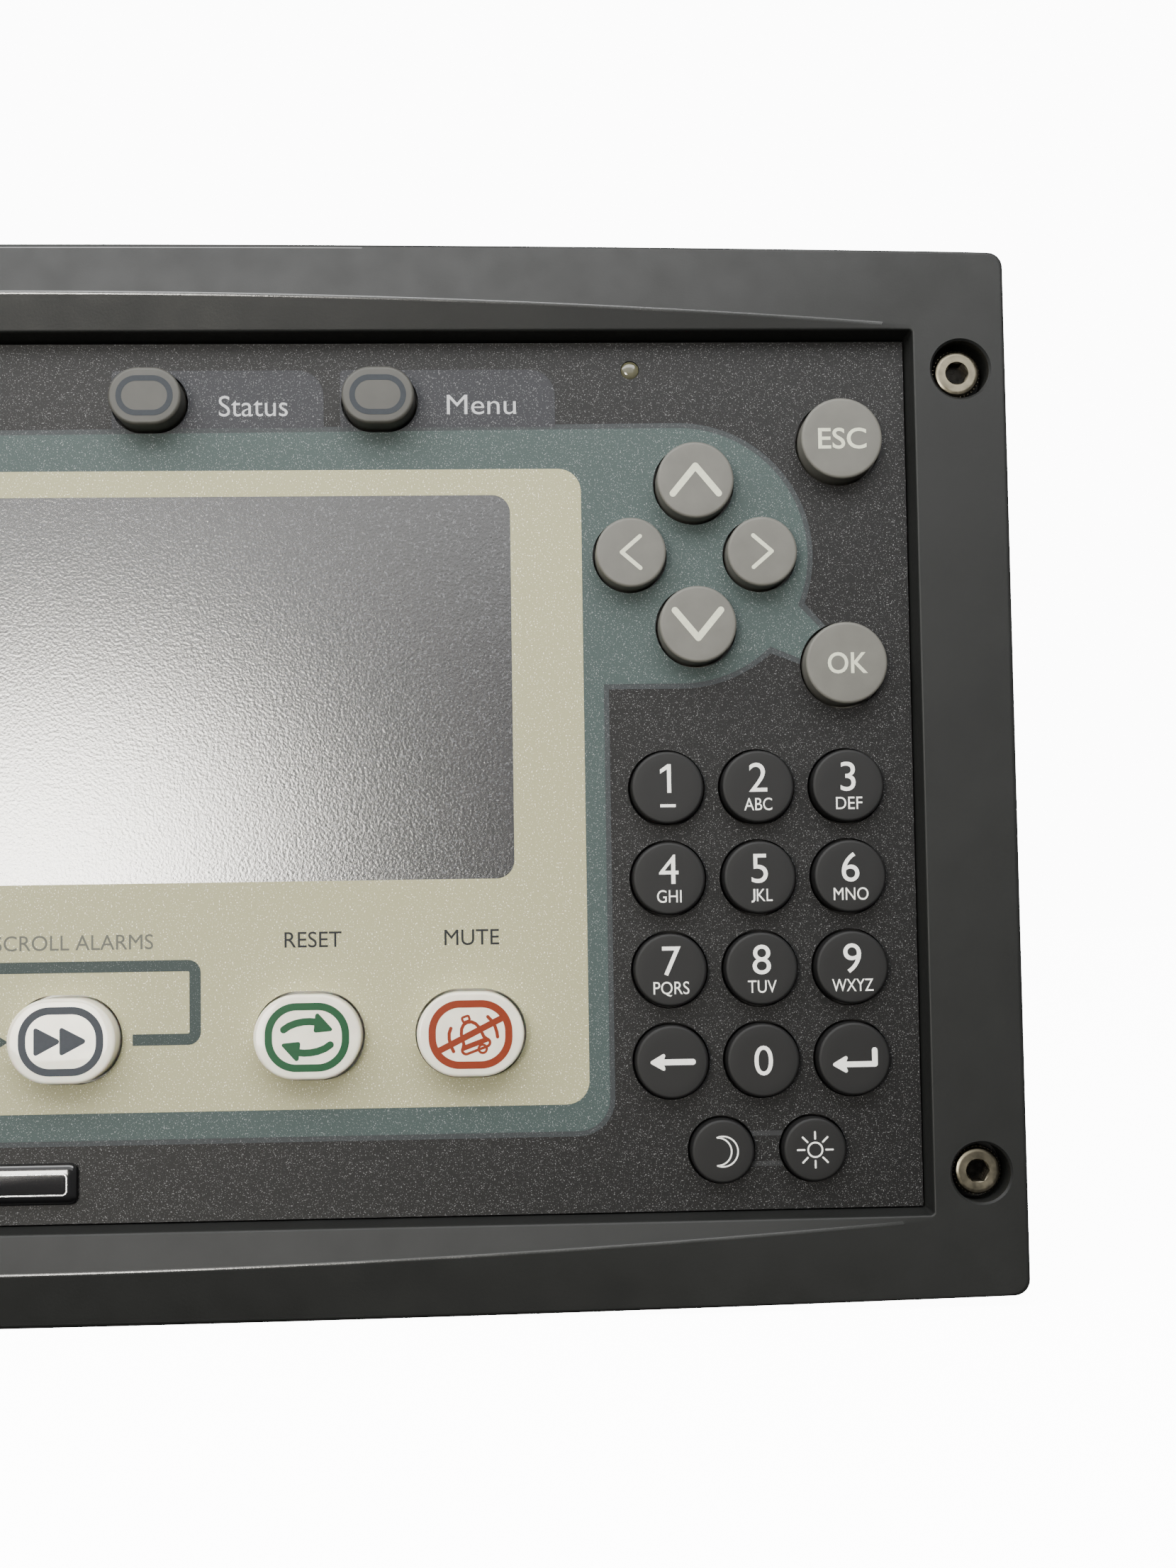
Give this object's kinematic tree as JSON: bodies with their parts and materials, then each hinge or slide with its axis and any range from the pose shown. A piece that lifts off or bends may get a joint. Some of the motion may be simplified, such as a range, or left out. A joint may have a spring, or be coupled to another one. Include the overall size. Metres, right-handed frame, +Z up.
{
  "type": "alarm keypad panel",
  "caption": "Flush-mounted alarm operator panel with an arched bezel, display window, numeric, arrow and command push keys, and a rear cover.",
  "frame": {"origin": "centre of the bezel's rear seating plane, on the pattern of the fixing screws", "axes": "+X to the panel's right seen from the front, +Z up, the front faces -Y"},
  "size_m": [0.294, 0.0646, 0.153],
  "materials": {
    "coated_bezel": "dark metallic powder coat on cast aluminium, fine grain",
    "printed_film": "back-printed polyester film, fine sparkle",
    "plate_aluminium": "clear anodised",
    "window_acrylic": "smoked acrylic, anti-glare",
    "foam": "closed-cell foam",
    "zinc_steel": "zinc plated",
    "nickel_brass": "nickel plated",
    "tinned_shell": "tin plated",
    "display_glass": "polarised display glass",
    "light_guide": "white diffuser",
    "green_board": "solder-masked glass epoxy",
    "black_component": "moulded epoxy",
    "green_terminal": "moulded polyamide",
    "silicone": "translucent grey silicone",
    "black_key": "moulded silicone, satin lacquer",
    "grey_key": "moulded silicone, satin lacquer",
    "white_key": "moulded silicone, satin lacquer",
    "black_screw": "blackened steel",
    "cover_sheet": "zinc-plated sheet steel",
    "badge_resin": "domed resin",
    "lens_clear": "clear moulded lens",
    "lens_red": "tinted moulded lens",
    "lens_yellow": "tinted moulded lens",
    "lens_green": "tinted moulded lens",
    "lamp_white": "lamp package"
  },
  "bodies": {
    "panel": {"board_components": "black_component", "board_screws": "zinc_steel", "board_spacers": "nickel_brass", "cover_screws": "zinc_steel", "display_backlight": "light_guide", "display_board": "green_board", "display_frame": "zinc_steel", "display_gasket": "foam", "display_glass": "display_glass", "display_window": "window_acrylic", "earth_nut": "nickel_brass", "earth_stud": "nickel_brass", "front_bezel": "coated_bezel", "front_plate": "plate_aluminium", "indicator_lamps": "lamp_white", "indicator_lenses_green": "lens_green", "indicator_lenses_red": "lens_red", "indicator_lenses_yellow": "lens_yellow", "keymat": "silicone", "keypad_board": "green_board", "light_sensor_lens": "lens_clear", "main_board": "green_board", "main_board_screws": "zinc_steel", "name_badge": "badge_resin", "overlay_film": "printed_film", "panel_gasket": "foam", "panel_screws": "black_screw", "plate_standoffs": "zinc_steel", "rear_cover": "cover_sheet", "serial_inserts": "black_component", "serial_jackscrews": "nickel_brass", "serial_shells": "tinned_shell", "sounder": "black_component", "supply_terminal": "green_terminal", "terminal_screws": "zinc_steel"},
    "key_0": {"key_0": "black_key"},
    "key_1": {"key_1": "black_key"},
    "key_2": {"key_2": "black_key"},
    "key_3": {"key_3": "black_key"},
    "key_4": {"key_4": "black_key"},
    "key_5": {"key_5": "black_key"},
    "key_6": {"key_6": "black_key"},
    "key_7": {"key_7": "black_key"},
    "key_8": {"key_8": "black_key"},
    "key_9": {"key_9": "black_key"},
    "key_back": {"key_back": "black_key"},
    "key_day": {"key_day": "black_key"},
    "key_down": {"key_down": "grey_key"},
    "key_enter": {"key_enter": "black_key"},
    "key_escape": {"key_escape": "grey_key"},
    "key_forward": {"key_forward": "white_key"},
    "key_left": {"key_left": "grey_key"},
    "key_menu": {"key_menu": "grey_key"},
    "key_mute": {"key_mute": "white_key"},
    "key_night": {"key_night": "black_key"},
    "key_ok": {"key_ok": "grey_key"},
    "key_reset": {"key_reset": "white_key"},
    "key_right": {"key_right": "grey_key"},
    "key_status": {"key_status": "grey_key"},
    "key_up": {"key_up": "grey_key"}
  },
  "joints": [
    {"name": "key_0_press", "type": "slide", "parent": "panel", "child": "key_0", "axis": [0, 1, 0], "range_m": [0, 0.001], "stiffness_N_per_m": 500, "springref_m": -0.0005},
    {"name": "key_1_press", "type": "slide", "parent": "panel", "child": "key_1", "axis": [0, 1, 0], "range_m": [0, 0.001], "stiffness_N_per_m": 500, "springref_m": -0.0005},
    {"name": "key_2_press", "type": "slide", "parent": "panel", "child": "key_2", "axis": [0, 1, 0], "range_m": [0, 0.001], "stiffness_N_per_m": 500, "springref_m": -0.0005},
    {"name": "key_3_press", "type": "slide", "parent": "panel", "child": "key_3", "axis": [0, 1, 0], "range_m": [0, 0.001], "stiffness_N_per_m": 500, "springref_m": -0.0005},
    {"name": "key_4_press", "type": "slide", "parent": "panel", "child": "key_4", "axis": [0, 1, 0], "range_m": [0, 0.001], "stiffness_N_per_m": 500, "springref_m": -0.0005},
    {"name": "key_5_press", "type": "slide", "parent": "panel", "child": "key_5", "axis": [0, 1, 0], "range_m": [0, 0.001], "stiffness_N_per_m": 500, "springref_m": -0.0005},
    {"name": "key_6_press", "type": "slide", "parent": "panel", "child": "key_6", "axis": [0, 1, 0], "range_m": [0, 0.001], "stiffness_N_per_m": 500, "springref_m": -0.0005},
    {"name": "key_7_press", "type": "slide", "parent": "panel", "child": "key_7", "axis": [0, 1, 0], "range_m": [0, 0.001], "stiffness_N_per_m": 500, "springref_m": -0.0005},
    {"name": "key_8_press", "type": "slide", "parent": "panel", "child": "key_8", "axis": [0, 1, 0], "range_m": [0, 0.001], "stiffness_N_per_m": 500, "springref_m": -0.0005},
    {"name": "key_9_press", "type": "slide", "parent": "panel", "child": "key_9", "axis": [0, 1, 0], "range_m": [0, 0.001], "stiffness_N_per_m": 500, "springref_m": -0.0005},
    {"name": "key_back_press", "type": "slide", "parent": "panel", "child": "key_back", "axis": [0, 1, 0], "range_m": [0, 0.001], "stiffness_N_per_m": 500, "springref_m": -0.0005},
    {"name": "key_day_press", "type": "slide", "parent": "panel", "child": "key_day", "axis": [0, 1, 0], "range_m": [0, 0.001], "stiffness_N_per_m": 500, "springref_m": -0.0005},
    {"name": "key_down_press", "type": "slide", "parent": "panel", "child": "key_down", "axis": [0, 1, 0], "range_m": [0, 0.001], "stiffness_N_per_m": 500, "springref_m": -0.0005},
    {"name": "key_enter_press", "type": "slide", "parent": "panel", "child": "key_enter", "axis": [0, 1, 0], "range_m": [0, 0.001], "stiffness_N_per_m": 500, "springref_m": -0.0005},
    {"name": "key_escape_press", "type": "slide", "parent": "panel", "child": "key_escape", "axis": [0, 1, 0], "range_m": [0, 0.001], "stiffness_N_per_m": 500, "springref_m": -0.0005},
    {"name": "key_forward_press", "type": "slide", "parent": "panel", "child": "key_forward", "axis": [0, 1, 0], "range_m": [0, 0.001], "stiffness_N_per_m": 500, "springref_m": -0.0005},
    {"name": "key_left_press", "type": "slide", "parent": "panel", "child": "key_left", "axis": [0, 1, 0], "range_m": [0, 0.001], "stiffness_N_per_m": 500, "springref_m": -0.0005},
    {"name": "key_menu_press", "type": "slide", "parent": "panel", "child": "key_menu", "axis": [0, 1, 0], "range_m": [0, 0.001], "stiffness_N_per_m": 500, "springref_m": -0.0005},
    {"name": "key_mute_press", "type": "slide", "parent": "panel", "child": "key_mute", "axis": [0, 1, 0], "range_m": [0, 0.001], "stiffness_N_per_m": 500, "springref_m": -0.0005},
    {"name": "key_night_press", "type": "slide", "parent": "panel", "child": "key_night", "axis": [0, 1, 0], "range_m": [0, 0.001], "stiffness_N_per_m": 500, "springref_m": -0.0005},
    {"name": "key_ok_press", "type": "slide", "parent": "panel", "child": "key_ok", "axis": [0, 1, 0], "range_m": [0, 0.001], "stiffness_N_per_m": 500, "springref_m": -0.0005},
    {"name": "key_reset_press", "type": "slide", "parent": "panel", "child": "key_reset", "axis": [0, 1, 0], "range_m": [0, 0.001], "stiffness_N_per_m": 500, "springref_m": -0.0005},
    {"name": "key_right_press", "type": "slide", "parent": "panel", "child": "key_right", "axis": [0, 1, 0], "range_m": [0, 0.001], "stiffness_N_per_m": 500, "springref_m": -0.0005},
    {"name": "key_status_press", "type": "slide", "parent": "panel", "child": "key_status", "axis": [0, 1, 0], "range_m": [0, 0.001], "stiffness_N_per_m": 500, "springref_m": -0.0005},
    {"name": "key_up_press", "type": "slide", "parent": "panel", "child": "key_up", "axis": [0, 1, 0], "range_m": [0, 0.001], "stiffness_N_per_m": 500, "springref_m": -0.0005}
  ]
}
